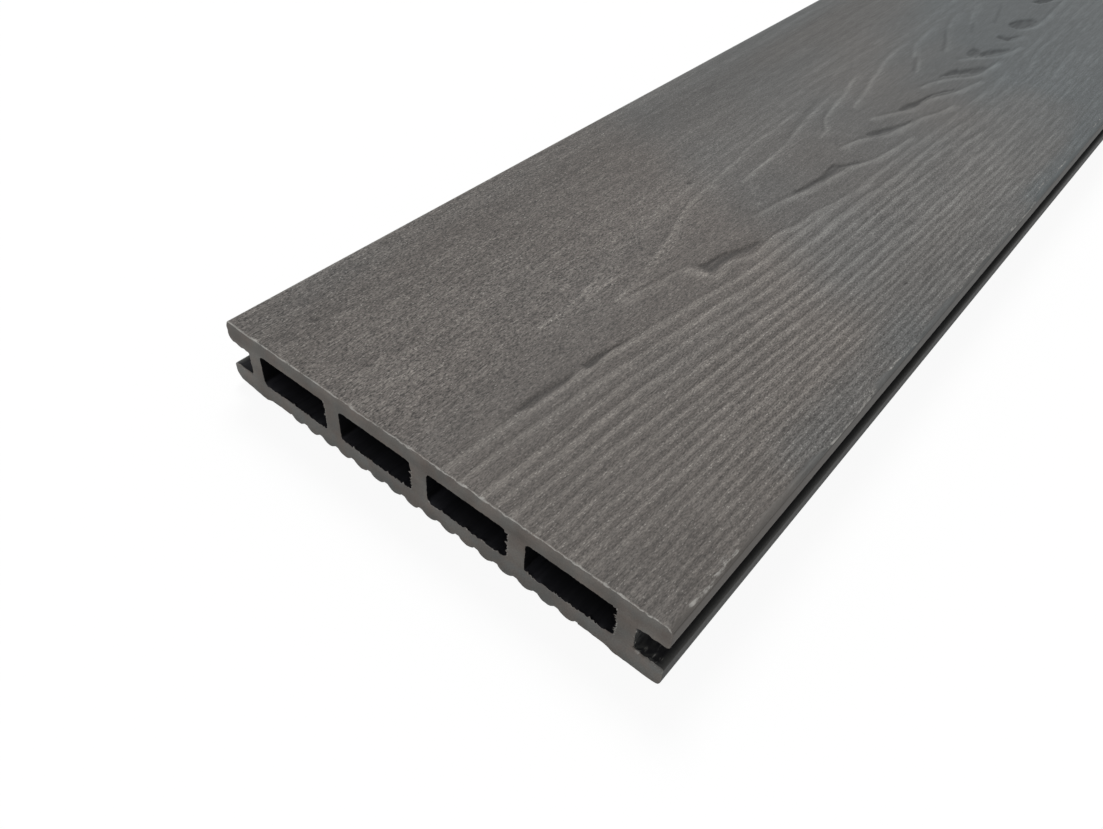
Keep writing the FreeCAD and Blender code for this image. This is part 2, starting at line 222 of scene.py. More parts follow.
class DeckingSection(bpy.types.PropertyGroup):
    """Sizes of the extruded section."""

    board_length: length("Length", BOARD_HIGH.x - BOARD_LOW.x, "Cut length of the board")
    board_width: length("Width", BOARD_HIGH.y - BOARD_LOW.y, "Width from lip to lip")
    board_thickness: length("Thickness", BOARD_HIGH.z - BOARD_LOW.z, "Feet to walking face")
    top_radius: length("Top edge radius", 0.002, "Outer corners of the walking face")
    groove_depth: length("Groove depth", 0.0083, "Clip groove, inwards from the lips")
    groove_height: length("Groove height", 0.0083, "Clip groove, between the lips")
    groove_radius: length("Groove corner radius", 0.001, "Inner corners of the clip groove")
    lower_lip: length("Lower lip", 0.0066, "Foot to clip groove")
    lip_radius: length("Lip radius", 0.0006, "Edges of the clip grooves' mouths")
    left_lip_radius: length("Left lip radius", 0.0025, "Lower outer corner of the left upper lip")
    foot_radius: length("Foot radius", 0.0014, "Outer corner of the right foot")
    raised_rise: length("Raised lip rise", 0.0016, "Rise of the left lower lip's underside at its edge")
    raised_radius: length("Raised lip radius", 0.0032, "Lower outer corner of the raised lip")
    raised_land: length("Raised foot land", 0.001, "Flat strip left on the left foot")
    end_wall: length("End wall", 0.0049, "Between a clip groove and the nearest chamber")
    web: length("Web", 0.0053, "Between two chambers")
    top_wall: length("Top wall", 0.0053, "Over the chambers")
    bottom_wall: length("Bottom wall", 0.0063, "Under the chambers, down to the feet")
    chamber_radius: length("Chamber radius", 0.0015, "Corners of a chamber")
    foot_width: length("Foot width", 0.0128, "Flat foot under each lower lip")
    foot_slope: length("Foot slope", 0.0024, "Slope from a foot up to the flat band")
    band_width: length("Band width", 0.0076, "Flat band between a foot and the reeds")
    band_recess: length("Band recess", 0.001, "Height of the flat band over the feet")
    reed_height: length("Reed height", 0.00135, "Height of a reed")
    reed_gap: length("Reed gap", 0.0011, "Flat root between two reeds")
    reed_count: bpy.props.IntProperty(name="Reeds", description="Reeds along the underside",
                                      default=16, min=1)
    chamber_count: bpy.props.IntProperty(name="Chambers", description="Chambers side by side",
                                         default=4, min=1)


class DeckingGrain(bpy.types.PropertyGroup):
    """Depths of the embossed grain and of the saw's damage."""

    flank_depth: length("Flank depth", 0.00026, "Depth of the straight grain lines")
    arm_depth: length("Arm depth", 0.00022, "Depth of the dark lines that rise from the tips")
    arm_rise: length("Arm rise", 0.00014, "Height of the pale lines that rise from the tips")
    riser_depth: length("Riser depth", 0.00024, "Depth of the lines that fall from the tips")
    pocket_depth: length("Pocket depth", 0.0005, "Depth of the hollows")
    quiet_depth: length("Quiet depth", 0.00007, "Depth of the faint lines on the plain side")
    wave_depth: length("Wave depth", 0.00006, "Depth of the slow waves of the face")
    burr: length("Burr", 0.00016, "How far the sawn rim wanders")
    chamber_tear: length("Chamber tear", 0.0004, "How far the rims of the chambers are torn")


class DeckingColours(bpy.types.PropertyGroup):
    """Colours and finish of the wood-plastic, with the colours that paint light and shade on it."""

    brushed: colour("Brushed face", (0.113, 0.1025, 0.0945), "Walking face between the ridges")
    # Brush wear, and a painted highlight on the lit sides of the grain.
    ridge: colour("Ridge", (0.240, 0.222, 0.202), "Ridges that the brush has worn paler")
    # Unbrushed skin, and painted shade in the grain's grooves.
    hollow: colour("Hollow", (0.052, 0.048, 0.045), "Unbrushed skin in the hollows")
    fleck: colour("Fleck", (0.560, 0.530, 0.490), "Pale wood flecks")
    # Paints cool light where the cool mark lies, and cool tone past the shown face.
    cool_tint: colour("Cool tint", (0.748, 0.897, 1.0), "Takes the warmth out of the places it covers")
    skin: colour("Extruded skin", (0.086, 0.077, 0.0685), "Smooth sides and underside")
    # Dark skin and painted shade inside the clip grooves.
    groove: colour("Groove", (0.013, 0.013, 0.015), "Dark skin inside the clip grooves")
    sawn: colour("Sawn end", (0.147, 0.138, 0.126), "Freshly sawn end face")
    sawn_warm: colour("Sawn end, warm", (0.150, 0.128, 0.113), "Brown patches of the sawn end")
    # Painted shade: the chambers' walls are coloured near black.
    chamber: colour("Chamber", (0.002, 0.002, 0.0024), "Walls of the chambers")
    # Painted light on the chambers' floors near the cuts.
    painted_light: colour("Chamber dust", (0.032, 0.032, 0.038), "Saw dust on the chambers' floors")
    burr: colour("Burr", (0.450, 0.437, 0.410), "Pale crushed edges")


class DeckingStage(bpy.types.PropertyGroup):
    """Camera, lights and floor."""

    camera_place: bpy.props.FloatVectorProperty(
        name="Camera place", description="Where the camera stands", size=3, subtype="TRANSLATION",
        unit="LENGTH", default=(-1.19743, -0.10905, 0.17813))
    camera_azimuth: angle("Camera azimuth", 36.02, "Heading, from the board's length towards its left")
    camera_tilt: angle("Camera tilt", 44.40, "How far the camera looks down")
    camera_roll: angle("Camera roll", -4.66, "Turn about the line of sight")
    focal_length: bpy.props.FloatProperty(
        name="Focal length", description="Lens, for a sensor 36 mm wide", default=29.308, min=1.0)
    sun_strength: share("Sun strength", 2.0, "Strength of the soft key light")
    sun_azimuth: angle("Sun azimuth", 42, "Where the key light comes from")
    sun_height: angle("Sun height", 52, "Height of the key light")
    sun_softness: angle("Sun softness", 24, "Width of the key light")
    sky_strength: share("Sky strength", 0.5, "Strength of the even light from all round")
    floor_size: length("Floor size", 30.0, "Width of the floor")
    floor: colour("Floor", (0.86, 0.86, 0.86), "Floor as the object's light sees it")
    shadow_share: share("Shadow share", 0.10, "How much of the floor's shading the camera sees")


# Shapes


def smooth(share_of_way):
    """An even start and end between 0 and 1."""
    part = np.clip(share_of_way, 0, 1)
    return part * part * (3 - 2 * part)


def ramp(value, start, full):
    """0 at the start of a range and 1 where it is full, whichever way it runs."""
    return smooth((value - start) / (full - start))


class Lattice:
    """Smooth, repeatable unevenness from -1 to 1, for places given in cells."""

    CELLS = 64

    def __init__(self, seed):
        self.values = np.random.default_rng(seed).uniform(-1, 1, (self.CELLS, self.CELLS))

    def at(self, along, across):
        """The unevenness at each place."""
        along, across = np.broadcast_arrays(np.asarray(along, float), np.asarray(across, float))
        column, row = np.floor(along).astype(int), np.floor(across).astype(int)
        right, up = smooth(along - column), smooth(across - row)
        corner = [[self.values[(column + i) % self.CELLS, (row + j) % self.CELLS]
                   for j in (0, 1)] for i in (0, 1)]
        low = corner[0][0] * (1 - right) + corner[1][0] * right
        high = corner[0][1] * (1 - right) + corner[1][1] * right
        return low * (1 - up) + high * up


def line_through(points, along, softening=3):
    """The height of a softened line through points of (along, height)."""
    places, heights = zip(*points)
    return sum(np.interp(along + softening * step, places, heights) for step in (-1, -0.5, 0, 0.5, 1)) / 5


def taper(along, points, run_in, run_out):
    """1 along a path, which fades to 0 at both of its ends."""
    start, end = points[0][0], points[-1][0]
    return ramp(along, start, start + run_in) * ramp(along, end, end - run_out)


def crease(along, across, points, steep, gentle):
    """A groove along a line, steep above and gentle below, and a pale ridge on its lit gentle side, partly
    painted highlight.
    """
    fade, crest, fall = 5, 0.22, 1.25
    over = across - line_through(points, along)
    ends = taper(along, points, fade, fade)
    cut = np.where(over > 0, ramp(over, steep, 0), ramp(-over, gentle, 0))
    climb = -over / gentle
    ridge = ramp(climb, 0, crest) * np.clip(fall - climb, 0, 1)
    return cut * ends, ridge * ends


def drawn_line(along, across, points, gap):
    """A thin raised line, the thin groove over it and the soft glow on both sides, a painted highlight."""
    fade, half_line, half_groove, half_glow = 4, 0.85, 0.75, 3.4
    over = across - line_through(points, along)
    ends = taper(along, points, fade, 0.35 * (points[-1][0] - points[0][0]))
    soft = 1 + 0.7 * ramp(along, 190, 270)
    uneven = 0.78 + 0.34 * Lattice(28).at(along / 5, points[0][0] / 9)
    line = ramp(abs(over), half_line * soft, 0) * uneven * (1 - 0.45 * ramp(along, 285, 345))
    groove = ramp(abs(over - gap * soft), half_groove * soft, 0)
    glow = ramp(abs(over + 1), half_glow, 0)
    return line * ends, groove * ends, glow * ends


def pocket(along, across, rows):
    """A flat hollow between two ragged sides."""
    start_run, end_run, upper_run, lower_run = 1.1, 2.4, 0.9, 1.1
    across = across + 0.45 * Lattice(35).at(along / 3.4, across / 1.3)
    places, uppers, lowers = zip(*rows)
    upper = line_through(list(zip(places, uppers)), along, 1.2)
    lower = line_through(list(zip(places, lowers)), along, 1.2)
    ends = smooth((along - places[0]) / start_run) * smooth((places[-1] - along) / end_run)
    return smooth((upper - across) / upper_run) * smooth((across - lower + 0.4) / lower_run) * ends


def flank_lines(along, across, half_width):
    """The straight grain from the guide line to the right edge: its grooves, and its pale ridges on their lit
    sides, partly painted highlight.
    """
    lit_side, dark_side = 0.5, 0.16
    guide = line_through(GUIDE, along)
    share_of_way = (guide - across) / (guide + half_width)
    inside = np.clip(share_of_way, 0, 1)
    further = ramp(along, 110, 210)
    wander = 0.26 * Lattice(11).at(along / 60, across / 5) + 0.08 * Lattice(12).at(along / 21, across / 2.5)
    wander = wander + 0.16 * further * Lattice(15).at(along / 11, across / 3)
    count = np.interp(along, *zip(*FLANK_COUNT))
    number = count * (inside + FLANK_TIGHTENING * inside ** 2) / (1 + FLANK_TIGHTENING)
    number = number + wander * smooth(number)
    phase = number % 1
    cut = ramp(phase, lit_side, 0) + ramp(phase, 1 - dark_side, 1)
    ridge = ramp(phase, 0, 0.14) * ramp(phase, 0.65, 0.3)
    fine = (2 * number + 0.7 * Lattice(16).at(along / 14, across / 1.7)) % 1
    ridge = ridge * (1 - 0.15 * further) + 0.3 * further * smooth(abs(2 * fine - 1)) * inside ** 0.3
    strength = (1 - 0.25 * inside) * (0.86 + 0.26 * Lattice(13).at(along / 38, across / 3.2))
    strength = strength * (1 - 0.72 * ramp(along, 150, 360))
    strength = strength + 0.3 * further * Lattice(14).at(along / 13, across / 2.1)
    near_cut = ramp(along, 48, 18) * ramp(across, -24, -32)
    strength = np.maximum(strength, 0) * (1 - 0.35 * near_cut) * ramp(share_of_way, -0.0125, 0.0125)
    return cut * strength, ridge * strength


def quiet_lines(along, across):
    """The faint grain of the plain side: its grooves and its pale ridges."""
    spacing = 4.1
    number = (across - 0.025 * np.maximum(along - 80, 0) ** 0.9) / spacing
    phase = (number + 0.5 * Lattice(21).at(along / 90, across / 9)) % 1
    side = ramp(across, 10, 22) * (0.6 + 0.5 * Lattice(22).at(along / 45, across / 4))
    cut = smooth(abs(2 * phase - 1))
    return cut * side, (1 - cut) * side


def pits(along, across):
    """Small dark holes in the face."""
    cut = 0
    for place, height, reach in PITS:
        away = np.hypot((along - place) / reach, (across - height) / (0.55 * reach))
        cut = np.maximum(cut, ramp(away, 1, 0))
    return cut


def blunt_steps(along, across):
    """Pale upright steps where a hollow starts bluntly, painted as a highlight where they face the key light.
    """
    pale, broken = 0, np.clip(0.75 + 0.6 * Lattice(25).at(along / 1.9, across / 0.9), 0, 1)
    for start, top, end, bottom, half_width in BLUNT_STEPS:
        centre = start + (end - start) * (top - across) / (top - bottom)
        step = (1 - smooth(abs(along - centre) / half_width)) * smooth(top - across) * smooth(across - bottom)
        pale = np.maximum(pale, step * broken)
    return pale


def lower_arms(along, across):
    """The deepest groove and the palest ridge of the lower arms at each place."""
    steep, gentle = 0.8, 3.2
    cut = np.zeros(np.broadcast(along, across).shape)
    ridge = np.zeros_like(cut)
    uneven = (0.85 + 0.3 * Lattice(27).at(along / 8, across / 4)) * (1 - 0.35 * ramp(along, 320, 380))
    for strength, points in LOWER_ARMS:
        arm_cut, arm_ridge = crease(along, across, points, steep, gentle)
        cut = np.maximum(cut, strength * arm_cut)
        ridge = np.maximum(ridge, strength * arm_ridge * uneven)
    return cut, ridge


def upper_arms(along, across):
    """The raised lines, the grooves over them and the soft glow of the upper arms at each place."""
    line = np.zeros(np.broadcast(along, across).shape)
    groove, glow = np.zeros_like(line), np.zeros_like(line)
    for pale, dark, points in UPPER_ARMS:
        arm_line, arm_groove, arm_glow = drawn_line(along, across, points, 1.15 if pale else 0)
        line = np.maximum(line, pale * arm_line)
        groove = np.maximum(groove, dark * arm_groove)
        glow = np.maximum(glow, pale * arm_glow)
    return line, groove, glow


def embossed(along, across, half_width, grain):
    """The printed grain: how deep it lies in millimetres, its dark hollows with painted shade, and its pale
    ridges with painted highlights.
    """
    turn = along % ROLLER_TURN
    flank, flank_ridge = flank_lines(turn, across, half_width)
    line, groove, glow = upper_arms(turn, across)
    lower, lower_ridge = lower_arms(turn, across)
    quiet, quiet_ridge = quiet_lines(turn, across)
    hollow = np.zeros_like(line)
    for rows in POCKETS:
        hollow = np.maximum(hollow, pocket(turn, across, rows))
    holes = pits(along, across)
    steps = blunt_steps(turn, across)
    worn = 0.92 + 0.2 * Lattice(31).at(along / 9, across / 1.6)
    waves = 0.5 + 0.5 * Lattice(32).at(along / 26, across / 6)
    rise = grain.arm_rise * np.maximum(line, steps)
    depth = np.maximum.reduce([grain.pocket_depth * np.maximum(hollow, holes),
                               grain.riser_depth * lower * worn,
                               grain.arm_depth * groove * worn, grain.flank_depth * flank])
    depth = depth + grain.quiet_depth * quiet + grain.wave_depth * waves + grain.arm_rise - rise
    streaked = hollow * (0.76 + 0.42 * Lattice(33).at(along / 9, across / 0.8))
    # Dark unbrushed skin in the hollows and pits, and painted shade in the grooves of the flank and the arms.
    dark = np.maximum.reduce([streaked, holes, 0.17 * flank, 0.55 * groove, 0.1 * lower])
    # Brush-worn ridges, with painted highlights on the grooves' lit sides, the lit steps and the arms' glow.
    ridge = np.maximum.reduce([0.6 * flank_ridge, 0.95 * line, 0.85 * steps, 0.18 * glow,
                               0.68 * lower_ridge, 0.3 * quiet_ridge])
    ridge = ridge * (1 - np.maximum(hollow, 0.7 * groove))
    return depth / MM, np.clip(dark, 0, 1), np.clip(ridge * worn, 0, 1)


def patches(rows, along, across):
    """The sum of the soft patches in a table."""
    ways = {"along": along, "across": across, "slanting": along - SLANT * across,
            "spreading": along - SPREAD * np.maximum(across, 0)}
    total = 0
    for strength, *ramps in rows:
        for way, start, full in ramps:
            strength = strength * ramp(ways[way], start, full)
        total = total + strength
    return total


def painted_light_and_grit(along, across):
    """How much cool tint (partly painted cool light), how much grit and how much painted shade each place
    has.
    """
    unseen = ramp(along, *UNSEEN)
    cool = patches(COOL_PATCHES, along, across)
    cool = cool + (0.08 + 0.1 * ramp(along, 270, 330)) * Lattice(51).at(along / 34, across / 14)
    cool = cool + unseen * (0.45 + 0.35 * Lattice(52).at(along / 210, across / 90) - cool)
    grit = 1 + patches(GRIT_PATCHES, along, across)
    grit = grit + unseen * (0.75 + 0.25 * Lattice(53).at(along / 160, across / 60) - grit)
    # Painted shade towards the left side and in patches, which gives way to random tone past the shown face.
    left_side = 0.45 * ramp(across, 18, 32) + 1.15 * ramp(across, 32, 52) - 0.575 * ramp(across, 60, 65)
    shade = left_side * (0.65 + 0.35 * ramp(along, 12, 52)) + patches(DARK_PATCHES, along, across)
    shade = shade * (1 - unseen) + 0.3 * Lattice(54).at(along / 40, across / 7)
    return np.clip(cool, 0, 1), grit, shade


def smooth_edge(along, across, half_width):
    """The strip of skin beside the right side that the brush has not reached."""
    reach = np.interp(along, *zip(*SMOOTH_EDGE)) + 0.3 * Lattice(55).at(along / 6, 0)
    half_rim = 0.3
    return ramp(half_width + across - reach, half_rim, -half_rim)


def arc(centre, radius, first, last, steps):
    """Points on an arc, between two angles in degrees."""
    angles = np.radians(np.linspace(first, last, steps + 1))
    return [(centre[0] + radius * math.cos(angle), centre[1] + radius * math.sin(angle)) for angle in angles]


def rounded_corner(before, here, after, radius):
    """Points round a corner, or the corner itself if it is sharp."""
    steps = 5
    if not radius:
        return [tuple(here)]
    back, ahead = (before - here).normalized(), (after - here).normalized()
    half_angle = back.angle(ahead) / 2
    reach = radius / math.tan(half_angle)
    centre = here + (back + ahead).normalized() * radius / math.sin(half_angle)
    start, end = here + back * reach - centre, here + ahead * reach - centre
    turn = -start.angle_signed(end)
    return [tuple(centre + Matrix.Rotation(turn * step / steps, 2) @ start) for step in range(steps + 1)]


def rounded_path(corners, spacing):
    """Points along a path of (across, up, radius) corners, with each corner rounded."""
    spots = [Vector(corner[:2]) for corner in corners]
    path = [tuple(spots[0])]
    for number in range(1, len(corners)):
        curve = [tuple(spots[number])]
        if number + 1 < len(corners):
            curve = rounded_corner(spots[number - 1], spots[number], spots[number + 1], corners[number][2])
        start, end = Vector(path[-1]), Vector(curve[0])
        steps = max(1, math.ceil((end - start).length / spacing))
        path += [tuple(start.lerp(end, step / steps)) for step in range(1, steps)] + curve
    return path


class Section:
    """The extruded section in millimetres, from the property group."""

    JOIN_ANGLE = 22
    SPACING = 0.8

    def __init__(self, sizes):
        for name in sizes.__annotations__:
            value = getattr(sizes, name)
            setattr(self, name, value if isinstance(value, int) else value / MM)
        self.half = self.board_width / 2
        self.wall = self.half - self.groove_depth
        self.groove_top = self.lower_lip + self.groove_height
        self.foot_edge = self.half - self.foot_width
        self.band_edge = self.foot_edge - self.foot_slope
        self.bed_edge = self.band_edge - self.band_width
        self.corner = (self.half - self.top_radius, self.board_thickness - self.top_radius)

    def side(self, left):
        """Corners from a top edge down round the groove and the lower lip to the reed bed."""
        upper_lip = self.left_lip_radius if left else self.lip_radius
        if left:
            bottom = [(self.half, self.raised_rise, self.raised_radius),
                      (self.foot_edge + self.raised_land, 0, 0.4)]
        else:
            bottom = [(self.half, 0, self.foot_radius)]
        return [(self.half, self.corner[1], 0), (self.half, self.groove_top, upper_lip),
                (self.wall, self.groove_top, self.groove_radius),
                (self.wall, self.lower_lip, self.groove_radius),
                (self.half, self.lower_lip, self.lip_radius), *bottom,
                (self.foot_edge, 0, 0.4), (self.band_edge, self.band_recess, 0.4),
                (self.bed_edge, self.band_recess, 0), (self.bed_edge, self.reed_height, 0)]

    def reeds(self):
        """The row of rounded ribs, from left to right."""
        pitch = 2 * self.bed_edge / self.reed_count
        half_reed = (pitch - self.reed_gap) / 2
        radius = (half_reed ** 2 + self.reed_height ** 2) / (2 * self.reed_height)
        spread = math.degrees(math.asin(half_reed / radius))
        points = []
        for number in range(self.reed_count):
            middle = self.bed_edge - (number + 0.5) * pitch
            points += arc((middle, radius), radius, -90 + spread, -90 - spread, 8)
        return points

    def lower_outline(self):
        """The outline under the walking face, from the left edge round to the right edge."""
        shoulder = arc(self.corner, self.top_radius, self.JOIN_ANGLE, 0, 3)[1:-1]
        left = shoulder + rounded_path(self.side(True), self.SPACING)
        right = shoulder + rounded_path(self.side(False), self.SPACING)
        mirrored = [(-across, up) for across, up in reversed(right)]
        return np.array(left + self.reeds() + mirrored)

    def columns(self):
        """Places across the walking face, close together where the grain is fine, and their heights."""
        shoulder = arc(self.corner, self.top_radius, self.JOIN_ANGLE, 90, 5)
        flat = self.corner[0]
        ends, gaps = (-flat, -21, 12, 27, flat), (0.52, 0.5, 0.8, 1.8)
        places = [(-across, up) for across, up in shoulder[:-1]]
        for start, end, gap in zip(ends, ends[1:], gaps):
            count = round((end - start) / gap)
            places += [(start + (end - start) * step / count, self.board_thickness) for step in range(count)]
        places = np.array(places + list(reversed(shoulder)))
        for pit in PITS:
            places[np.argmin(abs(places[:, 0] - pit[1])), 0] = pit[1]
        return places

    def chambers(self):
        """The outlines of the chambers."""
        span = 2 * (self.wall - self.end_wall)
        pitch = (span + self.web) / self.chamber_count
        low, high, radius = self.bottom_wall, self.board_thickness - self.top_wall, self.chamber_radius
        outlines = []
        for number in range(self.chamber_count):
            left = -span / 2 + number * pitch
            right = left + pitch - self.web
            middle = (left + right) / 2
            corners = [(middle, low, 0), (right, low, radius), (right, high, radius),
                       (left, high, radius), (left, low, radius), (middle, low, 0)]
            outlines.append(np.array(rounded_path(corners, 0.4)[:-1]))
        return outlines


def stations(board_length):
    """Places along the board: close together in the first figure and coarser further on."""
    rim, end_run = [0.3, 0.7, 1.2, 2.0, 3.2, 4.6], 12
    shown = [(6.5, 60, 2.0), (60, 300, 1.35), (300, 446, 2.1)]
    figure_start, figure_end, figure_gap, plain_gap = 70, 520, 18, 36
    places, place = list(rim), shown[-1][1]
    for start, end, gap in shown:
        places += list(np.arange(start, end - gap / 2, gap))
    while place < board_length - end_run:
        places.append(place)
        place += figure_gap if figure_start < place % ROLLER_TURN < figure_end else plain_gap
    places = np.array(places + [board_length - edge for edge in reversed(rim)])
    for pit in PITS:
        places[np.argmin(abs(places - pit[0]))] = pit[0]
    return places


def into_stock(outline):
    """Unit steps to the right of the way round a closed outline, which is where its stock lies."""
    ahead = np.roll(outline, -1, axis=0) - np.roll(outline, 1, axis=0)
    ahead /= np.linalg.norm(ahead, axis=1)[:, None]
    return np.stack([ahead[:, 1], -ahead[:, 0]], axis=1)


class MeshParts:
    """Vertices, faces and finishes that are gathered into one mesh."""

    def __init__(self):
        self.points, self.faces, self.finish = [], [], []
        self.marks = {"hollow": [], "ridge": [], "pale": [], "cool": [], "grit": [], "shade": []}

    def add_points(self, points, **marks):
        """Add points in millimetres, with what is painted on them, and give back their numbers."""
        points = np.asarray(points, float).reshape(-1, 3)
        first = sum(len(block) for block in self.points)
        self.points.append(points)
        for name, blocks in self.marks.items():
            blocks.append(np.broadcast_to(marks.get(name, 0.0), points.shape[:1]))
        return np.arange(first, first + len(points))

    def add_face(self, corners, finish):
        """Add a face, by the numbers of its corners."""
        self.faces.append([int(corner) for corner in corners])
        self.finish.append(finish)

    def bridge(self, first, second, finish, closed=False):
        """Quads between two rows of as many points."""
        if closed:
            first, second = np.append(first, first[0]), np.append(second, second[0])
        for a, b, c, d in zip(first, first[1:], second[1:], second):
            self.add_face((a, b, c, d), finish)

    def mesh(self, name):
        """One mesh in metres, centred along the board, with what is painted on it."""
        points = np.concatenate(self.points)
        mesh = bpy.data.meshes.new(name)
        mesh.from_pydata(points * MM + np.array([BOARD_LOW.x, 0, 0]), [], self.faces)
        mesh.polygons.foreach_set("material_index", self.finish)
        for label, blocks in self.marks.items():
            attribute = mesh.attributes.new(label, "FLOAT", "POINT")
            attribute.data.foreach_set("value", np.concatenate(blocks).astype(np.float32))
        mesh.validate()
        mesh.update()
        return mesh


WALKING_FACE, EXTRUDED_SIDE, SAWN_END, CHAMBER_WALL = range(4)


def scuffed(along, across, half_width):
    """The pale burr along the top's right edge."""
    fade, soft_rim = 2.5, 0.4
    streaks = 0.74 + 0.5 * Lattice(41).at(along / 1.8, across / 0.5)
    wavering = across + half_width - 0.25 * Lattice(44).at(along / 5, 0)
    scuff = np.zeros_like(streaks)
    for start, end, distance, strength, reach in EDGE_SCUFFS:
        run = ramp(along, start, start + fade) * ramp(along, end, end - fade)
        beside = ramp(abs(wavering - distance), reach + soft_rim, reach)
        scuff = np.maximum(scuff, strength * run * beside * streaks)
    return scuff


def crushed(along, across, section):
    """Where the face is crushed pale: its scuffs, its worn left edge and the rims of its cuts."""
    worn = 0.8 * ramp(section.half - across, 1.1, 0.5) * (0.7 + 0.4 * Lattice(42).at(along / 7, across))
    worn = worn * (1 - 0.5 * ramp(along, 200, 260))
    from_end = np.minimum(along, section.board_length - along)
    reach = 0.62 + 0.42 * Lattice(45).at(across / 2.3, 0)
    rim = smooth((reach - from_end) / 0.6) * (0.5 + 0.4 * Lattice(43).at(across / 1.3, along * 2))
    return np.clip(np.maximum.reduce([scuffed(along, across, section.half), worn, rim]), 0, 1)


def walking_face(parts, section, grain, places):
    """The grid of the embossed face. Gives its numbers, by station and column."""
    columns = section.columns()
    along, across = places[:, None], columns[None, :, 0]
    from_side = section.half - abs(across)
    depth, dark, ridge = embossed(along, across, section.half, grain)
    on_face = ramp(from_side, 0.4, 1.8)
    up = columns[None, :, 1] - depth * on_face
    cool, grit, shade = painted_light_and_grit(along, across)
    skin = smooth_edge(along, across, section.half)
    # Painted cool light and painted shade on the smooth strip of skin beside the right edge.
    bluish = (0.17 + 0.1 * Lattice(56).at(along / 15, 0)) * skin * ramp(along, 27, 33)
    darker = (0.3 + 0.5 * Lattice(57).at(along / 13, 0)) * skin
    marks = {
        "hollow": dark * on_face * (1 - skin),
        # The ridges, and a painted highlight along both top edges.
        "ridge": ridge * on_face * (1 - 0.7 * skin) + 0.3 * ramp(from_side, 1.8, 1),
        "pale": crushed(along, across, section),
        "cool": np.clip(cool + bluish, 0, 1),
        "grit": grit * (1 - 0.8 * skin),
        "shade": shade + darker,
    }
    points = np.stack(np.broadcast_arrays(along, across, up), axis=-1)
    numbers = parts.add_points(points, **{name: value.ravel() for name, value in marks.items()})
    numbers = numbers.reshape(len(places), len(columns))
    for first, second in zip(numbers, numbers[1:]):
        parts.bridge(second, first, WALKING_FACE)
    return numbers


def extruded_sides(parts, section, places, face):
    """Everything under the walking face, swept over a few of its stations."""
    wanted = [0, 0.7, 1.2, 2, 3.2, 4.6, 12, 40, 120, 260, 440, 800]
    wanted += [section.board_length - place for place in wanted] + [section.board_length / 2]
    rows = sorted({int(np.argmin(abs(places - place))) for place in wanted})
    outline = section.lower_outline()
    across, up = outline.T
    from_side, on_right, margin = section.half - abs(across), across < 0, 0.1
    in_groove = (up > section.lower_lip - margin) & (up < section.groove_top + margin)
    # Through the hollow mark, the grooves' dark colour is dark skin and painted shade, fading in from the
    # mouths.
    deep = in_groove * ramp(from_side, 0.3, 2.1)
    low = ramp(up, section.lower_lip + 0.5, section.lower_lip - 0.5)
    outside = low * ramp(from_side, 4, 2)
    count = np.arange(len(outline))
    rings = []
    for place in places[rows]:
        from_end = min(place, section.board_length - place)
        crumbs = 0.55 * deep * Lattice(91).at(count / 1.1, place * 1.3) * math.exp(-from_end / 2.6)
        crumbly = np.clip(0.55 + 1.5 * Lattice(92).at(count / 1.3, place * 2), 0, 1) * math.exp(-from_end / 4)
        # Painted light: a pale, lit strip in the right groove near the cut, carried by the pale mark.
        lit = np.clip(0.25 + 1.1 * Lattice(93).at(count / 1.2, place * 3), 0, 1) * math.exp(-from_end / 3)
        shape = outline + into_stock(outline) * crumbs[:, None]
        # The cool mark paints bluish light on the lower lips and in the grooves, and the shade mark paints
        # shade on the lower lips.
        rings.append(parts.add_points(
            np.column_stack([np.full(len(outline), place), shape]),
            hollow=deep * (1 - 0.95 * crumbly * on_right),
            cool=np.maximum(painted_light_and_grit(place, 0.9 * across)[0], 0.7 * np.maximum(low, in_groove)),
            shade=outside * (1.1 + 0.7 * ramp(place, 50, 110)),
            pale=deep * on_right * lit))
    for (near_row, near), (far_row, far) in zip(zip(rows, rings), zip(rows[1:], rings[1:])):
        parts.bridge(far, near, EXTRUDED_SIDE)
        left = list(face[near_row:far_row + 1, -1])
        parts.add_face([far[0], near[0], *left], EXTRUDED_SIDE)
        right = list(face[near_row:far_row + 1, 0])
        parts.add_face([near[-1], far[-1], *reversed(right)], EXTRUDED_SIDE)
    return rings[0], rings[-1]


def ring_points(parts, place, outline, pale, painted_light=0.0):
    """An outline's points at one place along the board. The grit mark carries the painted light there."""
    points = np.column_stack([np.full(len(outline), place), outline])
    return parts.add_points(points, pale=pale, grit=painted_light)


